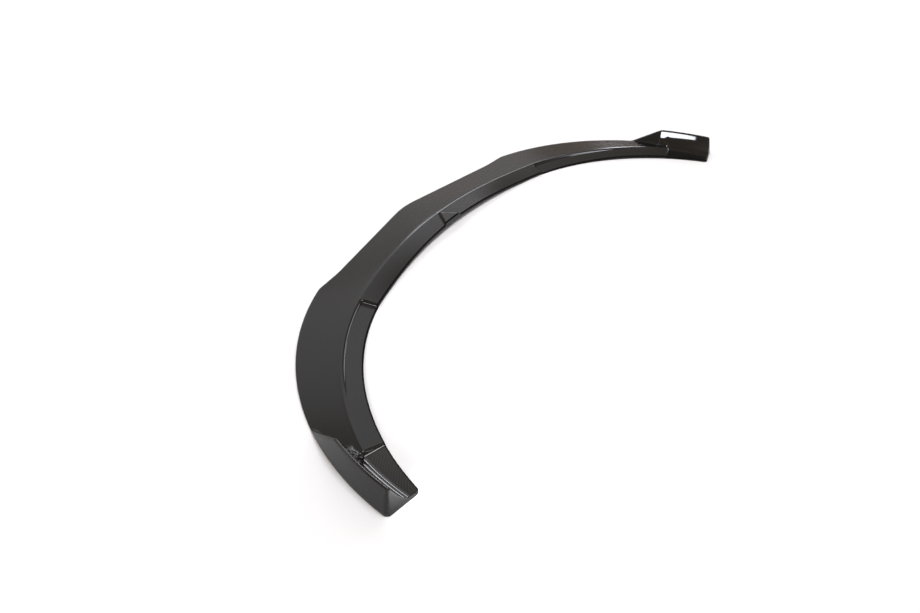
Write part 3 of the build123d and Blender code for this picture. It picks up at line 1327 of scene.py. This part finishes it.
@dataclass(frozen=True)
class LightPanel:
    """A soft-edged panel of light far away, placed as seen from the lip.

    The turn is counted from straight ahead of the camera to the right, the lift from the level, and the roll
    tips the panel's top to the right, all in degrees. Half sizes and the edge are shares of the distance.
    """

    turn: float
    lift: float
    half_wide: float
    half_tall: float
    glow: float
    roll: float = 0.0
    edge: float = 0.04
    least_ahead: float = 0.01

    def axes(self, heading: Vector) -> tuple[Vector, Vector, Vector]:
        """Directions of the panel.

        Args:
            heading: level direction straight ahead of the camera.

        Returns:
            Directions to its middle, along its width and along its height.
        """
        turn, lift, roll = (math.radians(angle) for angle in (self.turn, self.lift, self.roll))
        level = heading * math.cos(turn) + heading.cross(UP) * math.sin(turn)
        middle = level * math.cos(lift) + UP * math.sin(lift)
        width = middle.cross(UP).normalized()
        height = width.cross(middle)
        return (
            middle,
            width * math.cos(roll) - height * math.sin(roll),
            height * math.cos(roll) + width * math.sin(roll),
        )

    def brightness(self, desk: NodeDesk, way: Socket, heading: Vector) -> Socket:
        """Brightness that the panel adds in a direction.

        Args:
            desk: nodes of the world.
            way: socket with the direction looked in.
            heading: level direction straight ahead of the camera.

        Returns:
            Socket with the added brightness.
        """
        middle, width, height = self.axes(heading)
        ahead = desk.math("MAXIMUM", desk.along(way, middle), self.least_ahead)
        share = self.glow
        for axis, half in ((width, self.half_wide), (height, self.half_tall)):
            away = desk.math("ABSOLUTE", desk.math("DIVIDE", desk.along(way, axis), ahead))
            fade = desk.add("ShaderNodeMapRange", interpolation_type="SMOOTHSTEP")
            desk.link(away, fade.inputs["Value"])
            fade.inputs["From Min"].default_value = half + self.edge
            fade.inputs["From Max"].default_value = half - self.edge
            share = desk.math("MULTIPLY", fade.outputs["Result"], share)
        return share


@dataclass
class Studio:
    """White floor, soft light and the camera at the photograph's viewing angle, in metres and degrees."""

    camera_place: Triple = (1.5095, 0.8910, 1.1534)
    heading: tuple[float, float] = (-0.8285, -0.5600)
    pitch: float = 38.62
    focal_pixels: float = 707.3
    image_width: int = 920
    sensor: float = 36.0
    floor_size: float = 40.0
    floor_tone: float = 0.96
    floor_roughness: float = 0.9
    lamp_place: Triple = (0.84, 0.47, 0.4)
    lamp_aim: Triple = (0.85, 0.43, 0.0)
    lamp_size: float = 0.06
    lamp_power: float = 0.2
    lamp_spread: float = 30.0
    room_tone: Triple = (0.33, 0.262, 0.2)
    panel_tone: Triple = (0.94, 0.985, 1.07)
    panels: tuple[LightPanel, ...] = (
        # Large window ahead, brighter in its upper part.
        LightPanel(turn=-19.5, lift=27.0, half_wide=0.44, half_tall=0.46, glow=0.42, roll=8.6),
        LightPanel(turn=-16.0, lift=37.0, half_wide=0.44, half_tall=0.13, glow=0.42, roll=8.6, edge=0.06),
        LightPanel(turn=6.0, lift=42.0, half_wide=0.2, half_tall=0.06, glow=0.62, edge=0.06),
        # Strip that the crest mirrors, then panels for the foot of the near fence and the edge of the recess.
        LightPanel(turn=-1.5, lift=28.0, half_wide=0.165, half_tall=0.05, glow=9.0, edge=0.02),
        LightPanel(turn=13.2, lift=15.0, half_wide=0.036, half_tall=0.05, glow=12.0, edge=0.012),
        LightPanel(turn=38.0, lift=21.0, half_wide=0.22, half_tall=0.13, glow=5.0, edge=0.03),
        # Panel behind the camera that the far fence mirrors.
        LightPanel(turn=-162.0, lift=24.3, half_wide=0.18, half_tall=0.045, glow=28.0, roll=6.0, edge=0.01),
        # Overhead panel to the right, and the one to the left for the rim.
        LightPanel(turn=70.0, lift=68.0, half_wide=0.24, half_tall=0.11, glow=14.0, edge=0.02),
        LightPanel(turn=-72.0, lift=46.0, half_wide=0.15, half_tall=0.08, glow=6.0, edge=0.02),
        # Wide soft panels behind the camera, to its left and right.
        LightPanel(turn=-120.0, lift=38.0, half_wide=0.35, half_tall=0.3, glow=0.35, edge=0.15),
        LightPanel(turn=125.0, lift=38.0, half_wide=0.45, half_tall=0.32, glow=0.6, edge=0.15),
    )

    @staticmethod
    def _placed(name: str, data: bpy.types.ID, place: Triple, look: Vector) -> bpy.types.Object:
        """Put a camera or a lamp in the scene.

        Args:
            name: name of the object.
            data: the camera or lamp.
            place: where it stands.
            look: direction that it faces.

        Returns:
            The object.
        """
        thing = bpy.data.objects.new(name, data)
        thing.location = place
        thing.rotation_mode = "QUATERNION"
        thing.rotation_quaternion = look.to_track_quat("-Z", "Y")
        bpy.context.scene.collection.objects.link(thing)
        return thing

    def camera(self) -> None:
        """Make the scene's camera."""
        data = bpy.data.cameras.new("camera")
        data.sensor_width = self.sensor
        data.lens = self.focal_pixels * self.sensor / self.image_width
        fall = math.radians(self.pitch)
        look = Vector((*[part * math.cos(fall) for part in self.heading], -math.sin(fall)))
        bpy.context.scene.camera = self._placed("camera", data, self.camera_place, look)

    def floor(self) -> None:
        """Make the plain white floor."""
        half = self.floor_size / 2
        mesh = bpy.data.meshes.new("floor")
        corners = [(-half, -half, 0.0), (half, -half, 0.0), (half, half, 0.0), (-half, half, 0.0)]
        mesh.from_pydata(corners, [], [(0, 1, 2, 3)])
        material = bpy.data.materials.new("floor_white")
        material.use_nodes = True
        shader = material.node_tree.nodes["Principled BSDF"]
        shader.inputs["Base Color"].default_value = (self.floor_tone,) * 3 + (1.0,)
        shader.inputs["Roughness"].default_value = self.floor_roughness
        shader.inputs["Specular IOR Level"].default_value = 0.0
        mesh.materials.append(material)
        floor = bpy.data.objects.new("floor", mesh)
        bpy.context.scene.collection.objects.link(floor)

    def room(self) -> None:
        """Make the room of light panels; where the camera looks straight at it, it is white."""
        world = bpy.data.worlds.new("studio")
        world.use_nodes = True
        desk = NodeDesk(world.node_tree)
        way = desk.add("ShaderNodeTexCoord").outputs["Generated"]
        heading = Vector((*self.heading, 0.0)).normalized()
        total = 0.0
        for panel in self.panels:
            total = desk.math("ADD", panel.brightness(desk, way, heading), total)
        tone = desk.add("ShaderNodeCombineColor")
        for socket, panel_part, room_part in zip(tone.inputs, self.panel_tone, self.room_tone):
            desk.link(desk.math("MULTIPLY_ADD", total, panel_part, room_part), socket)
        seen = desk.add("ShaderNodeLightPath").outputs["Is Camera Ray"]
        shown = desk.mix(seen, tone.outputs["Color"], WHITE, "RGBA")
        desk.link(shown, world.node_tree.nodes["Background"].inputs["Color"])
        bpy.context.scene.world = world

    def lamp(self) -> None:
        """Make the narrow square lamp over the floor behind the near end, which isn't mirrored."""
        data = bpy.data.lights.new("end_lamp", "AREA")
        data.size = self.lamp_size
        data.energy = self.lamp_power
        data.spread = math.radians(self.lamp_spread)
        look = Vector(self.lamp_aim) - Vector(self.lamp_place)
        lamp = self._placed("end_lamp", data, self.lamp_place, look)
        lamp.visible_glossy = False
        lamp.visible_camera = False

    def build(self) -> None:
        """Make the whole studio and choose the view's plain colours."""
        self.floor()
        self.room()
        self.lamp()
        self.camera()
        bpy.context.scene.view_settings.view_transform = "Standard"


def main() -> None:
    """Build the lip, its finishes and the studio."""
    logging.basicConfig(level=logging.INFO, format="%(name)s: %(message)s")
    finishes = {
        Region.PLATE: CarbonFinish("carbon_satin", coat=0.72, coat_roughness=0.13),
        # The gloss pocket's warp and weft tones lie further apart: a stronger painted sheen.
        Region.POCKET: CarbonFinish("carbon_gloss", weft_tone_and_sheen=0.003, warp_tone_and_sheen=0.014, relief=0.02),
        Region.BARE: CarbonFinish("carbon_bare", coat=0.0, roughness=(0.6, 0.7)),
    }
    materials = {region: finish.material() for region, finish in finishes.items()}
    lowest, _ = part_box(LIP_NODE)
    lip = SplitterLip(lowest.y).build(LaminateTree(), materials)
    LOG.info("%s: %d faces", lip.name, len(lip.data.polygons))
    Studio().build()


if __name__ == "__main__":
    main()
